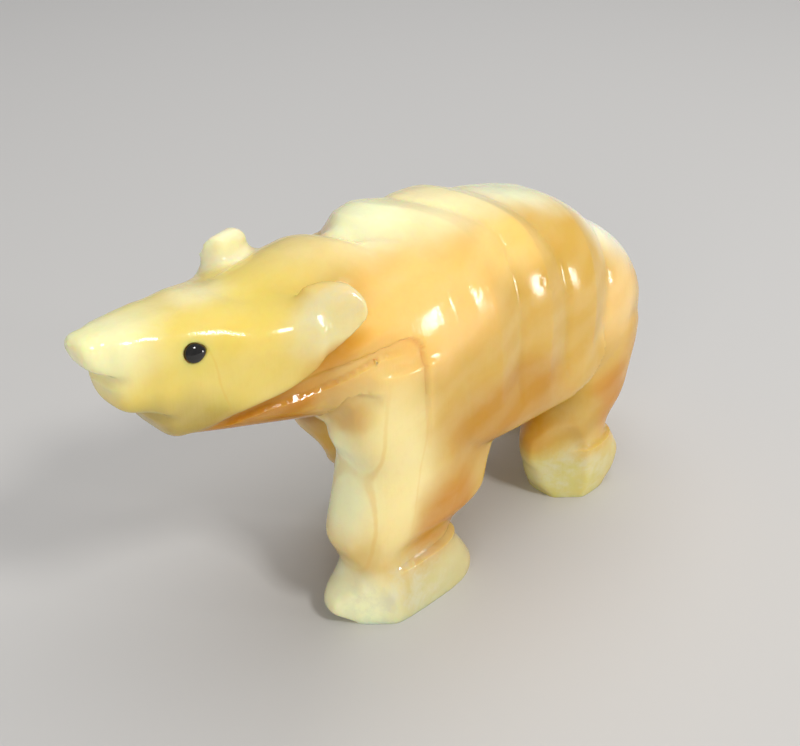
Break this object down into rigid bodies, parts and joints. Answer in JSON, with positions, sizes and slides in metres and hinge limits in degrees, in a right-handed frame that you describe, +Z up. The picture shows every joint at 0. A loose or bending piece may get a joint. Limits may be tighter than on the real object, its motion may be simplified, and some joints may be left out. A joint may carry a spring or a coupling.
{
  "type": "polar bear figurine",
  "caption": "Walking polar bear carved from polished banded onyx, head low and forward, with stepped bands across the back and dark inlaid eyes.",
  "frame": {"origin": "middle of the bounding box, on the plane of the soles", "axes": "+Z up, -X the way the head points, -Y the bear's left side"},
  "size_m": [0.128, 0.0386, 0.0704],
  "materials": {
    "onyx": "gloss",
    "eye_bead": "gloss"
  },
  "bodies": {
    "root": {"bear": "onyx", "left_eye": "eye_bead", "right_eye": "eye_bead"}
  },
  "joints": []
}
